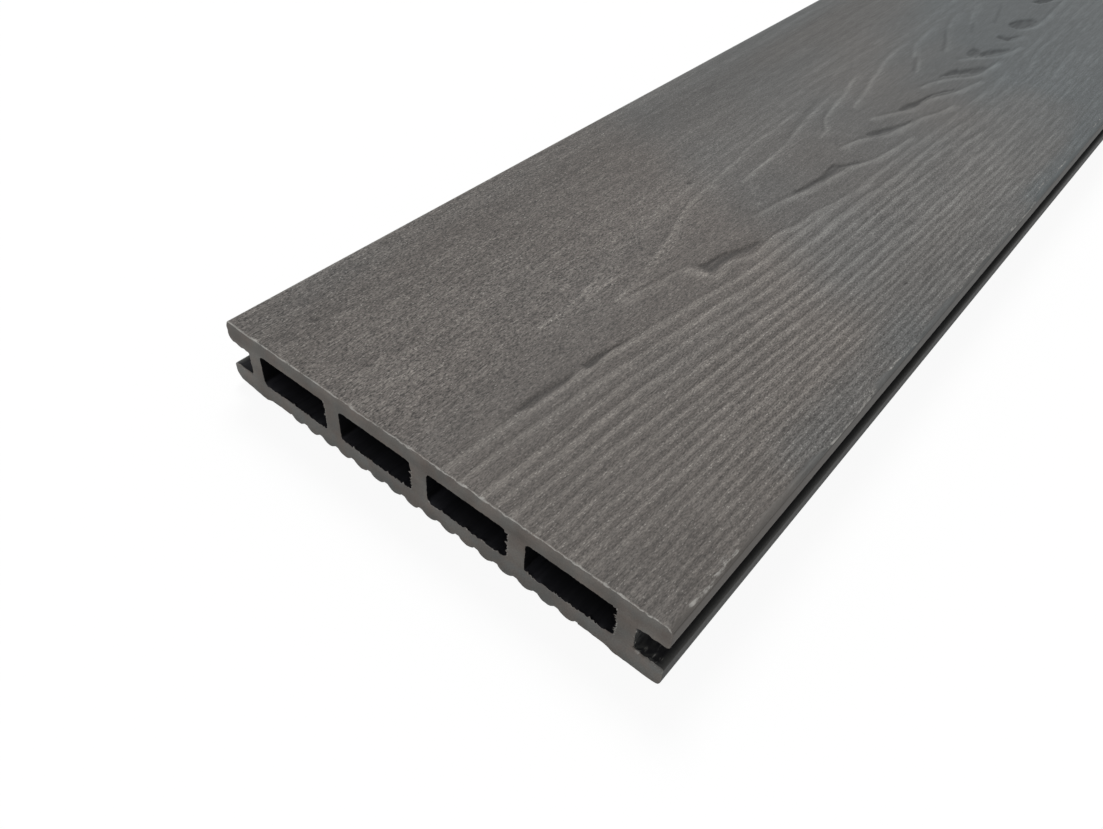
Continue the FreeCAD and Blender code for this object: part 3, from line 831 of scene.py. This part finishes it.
def sawn_end(parts, section, grain, place, outer, chamber_rings, seed):
    """Close one end: a fine torn bevel, a pale rim and the flat face round the chambers."""
    outwards = -1 if place == 0 else 1

    def join(first, second):
        pair = (second, first) if outwards > 0 else (first, second)
        parts.bridge(*pair, SAWN_END, closed=True)

    outline = np.concatenate(parts.points)[outer][:, 1:]
    steps = into_stock(outline)
    walked = np.cumsum(np.linalg.norm(outline - np.roll(outline, 1, axis=0), axis=1))
    ragged = Lattice(seed).at(walked / 1.1, 0) + 0.6 * Lattice(seed + 1).at(walked / 3.7, 0)
    across, up = abs(outline[:, 0]), outline[:, 1]
    on_top = ramp(section.board_thickness - up, 1.5, 0.5)
    groove_floor = (abs(up - section.lower_lip) < 0.1) & (across < section.half - 1.6)
    chipped = groove_floor * (1.2 + 1.6 * Lattice(seed + 3).at(walked / 0.8, 0))
    inset = grain.burr / MM * (1.0 + (0.75 + 0.7 * on_top) * ragged + chipped)
    inset = np.maximum(inset, 0.03)
    pale = np.clip((0.3 + 0.6 * on_top + 0.4 * groove_floor) * (0.9 + 0.4 * ragged), 0, 1)
    rim = ring_points(parts, place, outline + steps * inset[:, None], pale)
    inner_inset = inset + 0.30 + 0.16 * Lattice(seed + 2).at(walked / 0.9, 0)
    doubled = smooth(0.5 + 1.2 * Lattice(seed + 4).at(walked / 2.4, 0))
    inner = ring_points(parts, place, outline + steps * inner_inset[:, None], 0.5 * pale * on_top * doubled)
    join(outer, rim)
    join(rim, inner)
    loops = [inner]
    for ring, hole in chamber_rings:
        loops.append(ring_points(parts, place, hole + into_stock(hole) * 0.6, 0.0))
        join(ring, loops[-1])
    points = np.concatenate(parts.points)
    corners = np.concatenate(loops)
    flat_loops = [[Vector((*points[corner][1:], 0)) for corner in loop] for loop in loops]
    for triangle in tessellate_polygon(flat_loops):
        a, b, c = (corners[corner] for corner in triangle)
        if np.cross(points[b][1:] - points[a][1:], points[c][1:] - points[a][1:]) * outwards < 0:
            b, c = c, b
        parts.add_face((a, b, c), SAWN_END)


def chamber_walls(parts, section, grain):
    """The tubes inside the board, with torn rims where the saw came through, and painted light near the cuts,
    most on the floors.
    """
    tear, light_reach = grain.chamber_tear / MM, 14
    half_run = [0, 0.4, 1.2, light_reach]
    runs = half_run + [section.board_length / 2] + [section.board_length - run for run in reversed(half_run)]
    near_rings, far_rings = [], []
    for number, outline in enumerate(section.chambers()):
        outwards = into_stock(outline)
        across, up = (outline - outline.mean(axis=0)).T
        right_wall, left_corner = ramp(across, -11, -12.5), ramp(across, 6, 12)
        floor = ramp(up, -4, -5)
        torn = np.clip(0.2 + 0.8 * right_wall + floor, 0, 1)
        walked = np.arange(len(outline))
        rings = []
        for run in runs:
            from_end = min(run, section.board_length - run)
            seed = 60 + number + (10 if run > section.board_length / 2 else 0)
            rough = 1.15 * Lattice(seed).at(walked, from_end * 1.2)
            rough = rough + 0.35 * Lattice(seed + 20).at(walked / 6, 0)
            spikes = 2.8 * np.maximum(Lattice(seed + 40).at(walked, 0), 0) ** 5
            moved = tear * torn * (0.8 * rough - spikes) * math.exp(-from_end / 0.6)
            pale = np.clip(0.72 * torn * (0.8 + 0.5 * rough) * (from_end < 0.2), 0, 1)
            # Painted light where light comes in near the cuts, strongest on the floor's left corner.
            painted_light = (0.06 + floor * (0.4 + 0.5 * left_corner)) * max(0, 1 - from_end / light_reach)
            rings.append(ring_points(parts, run, outline + outwards * moved[:, None], pale, painted_light))
        for first, second in zip(rings, rings[1:]):
            parts.bridge(second, first, CHAMBER_WALL, closed=True)
        near_rings.append((rings[0], outline))
        far_rings.append((rings[-1], outline))
    return near_rings, far_rings


def board_mesh(section_sizes, grain):
    """The whole board as one closed skin."""
    section = Section(section_sizes)
    places = stations(section.board_length)
    parts = MeshParts()
    face = walking_face(parts, section, grain, places)
    near_side, far_side = extruded_sides(parts, section, places, face)
    near_rings, far_rings = chamber_walls(parts, section, grain)
    near_outer = np.concatenate([face[0], near_side])
    far_outer = np.concatenate([face[-1], far_side])
    sawn_end(parts, section, grain, 0, near_outer, near_rings, 70)
    sawn_end(parts, section, grain, section.board_length, far_outer, far_rings, 80)
    return parts.mesh("wood_plastic_board")


# Materials


def node(tree, kind, inputs=None, **settings):
    """Add a node, set it up and feed it with values or sockets."""
    spacing = 190
    made = tree.nodes.new(kind)
    made.location = (spacing * len(tree.nodes), 0)
    for name, value in settings.items():
        setattr(made, name, value)
    for socket, value in (inputs or {}).items():
        if isinstance(value, bpy.types.NodeSocket):
            tree.links.new(value, made.inputs[socket])
        else:
            made.inputs[socket].default_value = value
    return made


def maths(tree, operation, first, second=0.0):
    """The result of a sum on two values."""
    return node(tree, "ShaderNodeMath", {0: first, 1: second}, operation=operation).outputs[0]


def times(tree, *values):
    """The product of some values, from left to right."""
    total = values[0]
    for value in values[1:]:
        total = maths(tree, "MULTIPLY", total, value)
    return total


def plus(tree, *values):
    """The sum of some values, from left to right."""
    total = values[0]
    for value in values[1:]:
        total = maths(tree, "ADD", total, value)
    return total


def noise(tree, vector, scale, detail, roughness):
    """A soft noise about a half."""
    inputs = {"Vector": vector, "Scale": scale, "Detail": detail, "Roughness": roughness}
    return node(tree, "ShaderNodeTexNoise", inputs).outputs["Fac"]


def mixed(tree, factor, first, second, blend="MIX"):
    """Two colours mixed by a factor."""
    inputs = {0: factor, 6: first, 7: second}
    return node(tree, "ShaderNodeMix", inputs, data_type="RGBA", blend_type=blend).outputs[2]


def ranged(tree, value, low, high, new_low, new_high):
    """A value brought from one range to another, and kept inside it."""
    inputs = {"Value": value, "From Min": low, "From Max": high, "To Min": new_low, "To Max": new_high}
    return node(tree, "ShaderNodeMapRange", inputs).outputs["Result"]


def solid(rgb):
    """A colour with its opacity, as a socket takes it."""
    return (*rgb, 1.0)


def stretched(tree, vector, size, stretch):
    """Object places in cells of one size, drawn out along the board."""
    across = maths(tree, "DIVIDE", 1.0, size)
    along = maths(tree, "DIVIDE", across, stretch)
    scale = node(tree, "ShaderNodeCombineXYZ", {"X": along, "Y": across, "Z": across}).outputs[0]
    return node(tree, "ShaderNodeVectorMath", {0: vector, 1: scale}, operation="MULTIPLY").outputs[0]


def new_group(name, inputs, outputs):
    """A shader node group: its tree, its inputs, its outputs and the cells that its size and stretch give."""
    tree = bpy.data.node_groups.new(name, "ShaderNodeTree")
    tree.interface.new_socket("Vector", in_out="INPUT", socket_type="NodeSocketVector")
    for label in inputs:
        tree.interface.new_socket(label, in_out="INPUT", socket_type="NodeSocketFloat")
    for label in outputs:
        tree.interface.new_socket(label, in_out="OUTPUT", socket_type="NodeSocketFloat")
    source, sink = tree.nodes.new("NodeGroupInput").outputs, tree.nodes.new("NodeGroupOutput").inputs
    cells = stretched(tree, source["Vector"], source["Size"], source["Stretch"])
    return tree, source, sink, cells


def contrasted(tree, value, contrast):
    """A noise turned into a tone about 1."""
    return plus(tree, times(tree, maths(tree, "SUBTRACT", value, 0.5), contrast), 1.0)


def grit_group():
    """Wood flour in plastic: an uneven tone, pale flecks and a height."""
    tree, source, sink, cells = new_group(
        "wood_flour_grit", ("Size", "Stretch", "Contrast"), ("Tone", "Flecks", "Height"))
    soft = noise(tree, cells, 1.0, 3.0, 0.62)
    spots = node(tree, "ShaderNodeTexVoronoi", {"Vector": cells, "Scale": 1.0, "Randomness": 1.0})
    near = ranged(tree, spots.outputs["Distance"], 0.14, 0.42, 1.0, 0.0)
    chosen = node(tree, "ShaderNodeSeparateColor", {"Color": spots.outputs["Color"]}).outputs["Red"]
    flecks = times(tree, near, ranged(tree, chosen, 0.70, 0.97, 0.0, 1.0))
    tree.links.new(contrasted(tree, soft, source["Contrast"]), sink["Tone"])
    tree.links.new(flecks, sink["Flecks"])
    tree.links.new(plus(tree, soft, times(tree, flecks, 0.4)), sink["Height"])
    return tree


def streak_group():
    """Fine lines drawn along the board by the die or the brush."""
    tree, source, sink, cells = new_group(
        "drawn_streaks", ("Size", "Stretch", "Contrast"), ("Tone", "Height"))
    lines = noise(tree, cells, 1.0, 2.0, 0.5)
    tree.links.new(contrasted(tree, lines, source["Contrast"]), sink["Tone"])
    tree.links.new(lines, sink["Height"])
    return tree


def crushed_group():
    """Where a marked edge is crushed pale: the mark, broken up by fine noise."""
    tree, source, sink, cells = new_group("crushed_edge", ("Cover", "Size", "Stretch"), ("Mask",))
    limit = ranged(tree, noise(tree, cells, 1.0, 2.0, 0.6), 0.3, 0.7, 0.15, 0.85)
    over = maths(tree, "SUBTRACT", source["Cover"], limit)
    tree.links.new(times(tree, ranged(tree, over, -0.2, 0.2, 0.0, 1.0), source["Cover"]), sink["Mask"])
    return tree


class Palette:
    """The shared node groups and the colours, handed to each material."""

    def __init__(self, colours):
        self.colours = colours
        self.grit, self.streaks, self.crushed = grit_group(), streak_group(), crushed_group()

    def start(self, name):
        """A new material: its tree, its shader and the place on the object."""
        material = bpy.data.materials.new(name)
        material.use_nodes = True
        tree = material.node_tree
        shader = tree.nodes["Principled BSDF"]
        place = node(tree, "ShaderNodeTexCoord").outputs["Object"]
        return material, tree, shader, place

    def use(self, tree, group, **inputs):
        """Place a shared group in a material with its own values. Gives its outputs."""
        return node(tree, "ShaderNodeGroup", inputs, node_tree=group).outputs

    def burred(self, tree, place, base, size, stretch):
        """A colour with its crushed edges painted pale over it."""
        cover = mark(tree, "pale")
        edge = self.use(tree, self.crushed, Vector=place, Cover=cover, Size=size, Stretch=stretch)
        return mixed(tree, edge["Mask"], base, solid(self.colours.burr))


def mark(tree, name):
    """A value painted on the mesh's points."""
    return node(tree, "ShaderNodeAttribute", attribute_name=name).outputs["Fac"]


def toned(tree, colour_socket, tone):
    """A colour made lighter or darker by a value about 1."""
    grey = node(tree, "ShaderNodeCombineColor", {0: tone, 1: tone, 2: tone}).outputs[0]
    return mixed(tree, 1.0, colour_socket, grey, "MULTIPLY")


def cooled(tree, colour_socket, amount, tint):
    """A colour brought towards a cooler one."""
    filter_colour = mixed(tree, amount, solid((1.0, 1.0, 1.0)), solid(tint))
    return mixed(tree, 1.0, colour_socket, filter_colour, "MULTIPLY")


def finish(tree, shader, base, roughness, specular, height, bump_depth):
    """Feed a shader its colour, roughness and specular level, and a bump of some depth in metres."""
    bump = node(tree, "ShaderNodeBump", {"Height": height, "Distance": bump_depth, "Strength": 1.0})
    tree.links.new(base, shader.inputs["Base Color"])
    tree.links.new(roughness, shader.inputs["Roughness"])
    shader.inputs["Specular IOR Level"].default_value = specular
    tree.links.new(bump.outputs["Normal"], shader.inputs["Normal"])


def walking_face_material(palette):
    """Brushed, embossed face: pale ridges and painted highlights, dark unbrushed hollows and painted shade in
    the grooves, flecks, grit, painted cool light and painted shade patches.
    """
    material, tree, shader, place = palette.start("brushed_wood_grain")
    colours = palette.colours
    grit, hollow, ridge = mark(tree, "grit"), mark(tree, "hollow"), mark(tree, "ridge")
    fine = palette.use(tree, palette.grit, Vector=place, Size=0.00035, Stretch=2.7,
                       Contrast=times(tree, grit, 3.5))
    coarse = palette.use(tree, palette.grit, Vector=place, Size=0.0016, Stretch=4.0,
                         Contrast=times(tree, grit, 0.55))
    fibre = palette.use(tree, palette.streaks, Vector=place, Size=0.0006, Stretch=12.0, Contrast=0.5)
    ragged = times(tree, maths(tree, "SUBTRACT", fibre["Tone"], 1.0), 1.1, grit)
    ragged = ranged(tree, plus(tree, ridge, ragged), 0.0, 1.0, 0.0, 1.0)
    base = mixed(tree, ragged, solid(colours.brushed), solid(colours.ridge))
    base = mixed(tree, hollow, base, solid(colours.hollow))
    # Painted shade from the shade mark.
    shade = ranged(tree, mark(tree, "shade"), -1.0, 2.0, 1.12, 0.76)
    base = toned(tree, base, times(tree, fine["Tone"], coarse["Tone"], fibre["Tone"], shade))
    plenty = maths(tree, "SUBTRACT", ranged(tree, ridge, 0.0, 0.5, 0.45, 1.0), hollow)
    plenty = times(tree, maths(tree, "MAXIMUM", plenty, 0.05), ranged(tree, grit, 0.25, 1.2, 0.1, 1.1))
    base = mixed(tree, times(tree, fine["Flecks"], plenty), base, solid(colours.fleck))
    # The cool tint, partly painted cool light.
    base = cooled(tree, base, mark(tree, "cool"), colours.cool_tint)
    base = palette.burred(tree, place, base, 0.0004, 3.0)
    roughness = ranged(tree, fine["Tone"], 0.6, 1.4, 0.66, 0.86)
    height = plus(tree, fine["Height"], times(tree, coarse["Height"], 0.8))
    height = plus(tree, times(tree, height, grit), times(tree, fibre["Height"], 0.6))
    finish(tree, shader, base, roughness, 0.22, height, 0.00012)
    return material


def extruded_side_material(palette):
    """Smooth die-drawn skin with fine lines along the board, painted bluish light, and painted shade in the
    grooves and on the lower lips.
    """
    material, tree, shader, place = palette.start("extruded_skin")
    colours = palette.colours
    lines = palette.use(tree, palette.streaks, Vector=place, Size=0.0005, Stretch=60.0, Contrast=0.5)
    fine = palette.use(tree, palette.grit, Vector=place, Size=0.0005, Stretch=2.0, Contrast=0.5)
    hollow = mark(tree, "hollow")
    base = cooled(tree, solid(colours.skin), mark(tree, "cool"), colours.cool_tint)
    # The groove colour is dark skin and painted shade.
    base = mixed(tree, hollow, base, solid(colours.groove))
    shade = ranged(tree, mark(tree, "shade"), 0.0, 2.0, 1.0, 0.3)
    base = toned(tree, base, times(tree, lines["Tone"], fine["Tone"], shade))
    base = palette.burred(tree, place, base, 0.0005, 4.0)
    roughness = plus(tree, ranged(tree, fine["Tone"], 0.7, 1.3, 0.5, 0.7), times(tree, hollow, 0.3))
    height = plus(tree, lines["Height"], times(tree, fine["Height"], 0.5))
    finish(tree, shader, base, roughness, 0.14, height, 0.00004)
    return material


def sawn_end_material(palette):
    """Matte sawn stock with brown patches, a painted bluish light that lightens its foot, and two bands near
    its top.
    """
    material, tree, shader, place = palette.start("sawn_end")
    colours = palette.colours
    fine = palette.use(tree, palette.grit, Vector=place, Size=0.0005, Stretch=1.0, Contrast=0.9)
    patchy, broad = noise(tree, place, 160.0, 3.0, 0.6), noise(tree, place, 110.0, 2.0, 0.5)
    warm = ranged(tree, patchy, 0.42, 0.7, 0.0, 1.0)
    base = mixed(tree, warm, solid(colours.sawn), solid(colours.sawn_warm))
    base = toned(tree, base, fine["Tone"])
    up = node(tree, "ShaderNodeSeparateXYZ", {0: place}).outputs["Z"]
    # Painted bluish light at the foot, under the chambers, which also lightens it.
    low = ranged(tree, up, 0.0052, 0.0072, 1.0, 0.0)
    blue = plus(tree, times(tree, low, 0.3), ranged(tree, patchy, 0.35, 0.6, 0.15, -0.1))
    base = cooled(tree, base, blue, colours.cool_tint)
    dark_band = ranged(tree, up, 0.016, 0.0172, 0.0, -0.15)
    light_band = ranged(tree, up, 0.0188, 0.0202, 0.0, 0.11)
    uneven = ranged(tree, broad, 0.36, 0.64, 0.88, 1.16)
    base = toned(tree, base, plus(tree, uneven, times(tree, low, 0.2), dark_band, light_band))
    base = palette.burred(tree, place, base, 0.0004, 1.6)
    roughness = ranged(tree, fine["Tone"], 0.7, 1.3, 0.66, 0.84)
    finish(tree, shader, base, roughness, 0.3, fine["Height"], 0.00005)
    return material


def chamber_wall_material(palette):
    """Painted shade as the colour of the drawn walls inside the chambers, with painted light where the mesh
    is marked.
    """
    material, tree, shader, place = palette.start("chamber_wall")
    lines = palette.use(tree, palette.streaks, Vector=place, Size=0.0006, Stretch=50.0, Contrast=0.6)
    base = mixed(tree, mark(tree, "grit"), solid(palette.colours.chamber), solid(palette.colours.painted_light))
    base = toned(tree, base, lines["Tone"])
    roughness = ranged(tree, lines["Tone"], 0.7, 1.3, 0.45, 0.65)
    finish(tree, shader, base, roughness, 0.15, lines["Height"], 0.00005)
    return material


# In the order of the finish numbers of the mesh.
FINISHES = (walking_face_material, extruded_side_material, sawn_end_material, chamber_wall_material)


# Stage


def camera_ray(tree):
    """1 for rays that show the background itself: straight, mirrored or through glass."""
    path = node(tree, "ShaderNodeLightPath")
    both = maths(tree, "MAXIMUM", path.outputs["Is Camera Ray"], path.outputs["Is Glossy Ray"])
    return maths(tree, "MAXIMUM", both, path.outputs["Is Transmission Ray"])


def floor_material(stage):
    """White to the camera, with a faint share of the real shading so that the shadow stays."""
    material = bpy.data.materials.new("studio_floor")
    material.use_nodes = True
    tree = material.node_tree
    tree.nodes.remove(tree.nodes["Principled BSDF"])
    paint = node(tree, "ShaderNodeBsdfDiffuse", {"Color": solid(stage.floor)})
    white = node(tree, "ShaderNodeEmission", {"Color": (1.0, 1.0, 1.0, 1.0), "Strength": 1.02})
    seen = maths(tree, "MULTIPLY", camera_ray(tree), 1 - stage.shadow_share)
    both = node(tree, "ShaderNodeMixShader", {0: seen, 1: paint.outputs[0], 2: white.outputs[0]})
    tree.links.new(both.outputs[0], tree.nodes["Material Output"].inputs["Surface"])
    return material


def make_floor(stage):
    """A square floor at the height of the board's feet."""
    half = stage.floor_size / 2
    corners = [(-half, -half, 0), (half, -half, 0), (half, half, 0), (-half, half, 0)]
    mesh = bpy.data.meshes.new("studio_floor")
    mesh.from_pydata(corners, [], [(0, 1, 2, 3)])
    mesh.materials.append(floor_material(stage))
    floor = bpy.data.objects.new("studio_floor", mesh)
    bpy.context.scene.collection.objects.link(floor)


def make_world(stage):
    """Even light from all round, and plain white where the camera looks past the floor."""
    world = bpy.data.worlds.new("studio_sky")
    world.use_nodes = True
    tree = world.node_tree
    strength = ranged(tree, camera_ray(tree), 0.0, 1.0, stage.sky_strength, 1.0)
    background = tree.nodes["Background"]
    background.inputs["Color"].default_value = (1.0, 1.0, 1.0, 1.0)
    tree.links.new(strength, background.inputs["Strength"])
    bpy.context.scene.world = world


def direction(azimuth, height):
    """A unit step along a heading, at an angle over the ground."""
    level = math.cos(height)
    return Vector((level * math.cos(azimuth), level * math.sin(azimuth), math.sin(height)))


def make_sun(stage):
    """The soft key light, from behind the board and to its left."""
    light = bpy.data.lights.new("key_light", "SUN")
    light.energy = stage.sun_strength
    light.angle = stage.sun_softness
    sun = bpy.data.objects.new("key_light", light)
    source = direction(stage.sun_azimuth, stage.sun_height)
    sun.rotation_mode = "QUATERNION"
    sun.rotation_quaternion = source.to_track_quat("Z", "Y")
    sun.location = source
    bpy.context.scene.collection.objects.link(sun)


def make_camera(stage):
    """The photograph's viewpoint."""
    sensor_width = 36.0
    lens = bpy.data.cameras.new("photo_camera")
    lens.sensor_fit = "HORIZONTAL"
    lens.sensor_width = sensor_width
    lens.lens = stage.focal_length
    lens.clip_start = 0.005
    lens.clip_end = 100.0
    camera = bpy.data.objects.new("photo_camera", lens)
    ahead = direction(stage.camera_azimuth, -stage.camera_tilt)
    right = ahead.cross(Vector((0, 0, 1))).normalized()
    up = right.cross(ahead)
    turn = Matrix.Rotation(stage.camera_roll, 3, ahead)
    axes = Matrix((turn @ right, turn @ up, -ahead)).transposed()
    camera.matrix_world = Matrix.Translation(stage.camera_place) @ axes.to_4x4()
    bpy.context.scene.collection.objects.link(camera)
    bpy.context.scene.camera = camera


# Add-on


class DECKING_OT_board(bpy.types.Operator):
    """Build the board's visible skin and its materials"""

    bl_idname = "decking.board"
    bl_label = "Make the board"

    def execute(self, context):
        scene = context.scene
        mesh = board_mesh(scene.decking_section, scene.decking_grain)
        palette = Palette(scene.decking_colours)
        for make_material in FINISHES:
            mesh.materials.append(make_material(palette))
        sharp_angle = math.radians(38)
        mesh.shade_smooth()
        mesh.set_sharp_from_angle(angle=sharp_angle)
        board = bpy.data.objects.new("wood_plastic_board", mesh)
        scene.collection.objects.link(board)
        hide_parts("deck_board")
        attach(board, "root")
        return {"FINISHED"}


class DECKING_OT_stage(bpy.types.Operator):
    """Set up the floor, the lights and the camera"""

    bl_idname = "decking.stage"
    bl_label = "Set the stage"

    def execute(self, context):
        stage = context.scene.decking_stage
        make_floor(stage)
        make_world(stage)
        make_sun(stage)
        make_camera(stage)
        context.scene.view_settings.view_transform = "Standard"
        return {"FINISHED"}


class DECKING_PT_panel(bpy.types.Panel):
    """Buttons and settings of the decking board"""

    bl_label = "Decking board"
    bl_idname = "DECKING_PT_panel"
    bl_space_type = "VIEW_3D"
    bl_region_type = "UI"
    bl_category = "Decking"

    def draw(self, context):
        self.layout.operator(DECKING_OT_board.bl_idname)
        self.layout.operator(DECKING_OT_stage.bl_idname)
        for group in SETTINGS:
            settings, box = getattr(context.scene, group), self.layout.box()
            for name in settings.__annotations__:
                box.prop(settings, name)


SETTINGS = {"decking_section": DeckingSection, "decking_grain": DeckingGrain,
            "decking_colours": DeckingColours, "decking_stage": DeckingStage}
TOOLS = (DECKING_OT_board, DECKING_OT_stage, DECKING_PT_panel)


def register():
    """Add the settings, the operators and the panel."""
    for name, group in SETTINGS.items():
        bpy.utils.register_class(group)
        setattr(bpy.types.Scene, name, bpy.props.PointerProperty(type=group))
    for tool in TOOLS:
        bpy.utils.register_class(tool)


def unregister():
    """Take them away again."""
    for tool in reversed(TOOLS):
        bpy.utils.unregister_class(tool)
    for name, group in SETTINGS.items():
        delattr(bpy.types.Scene, name)
        bpy.utils.unregister_class(group)


def main():
    """Register the add-on, build the board and set its stage."""
    register()
    bpy.ops.decking.board()
    bpy.ops.decking.stage()


if __name__ == "__main__":
    main()
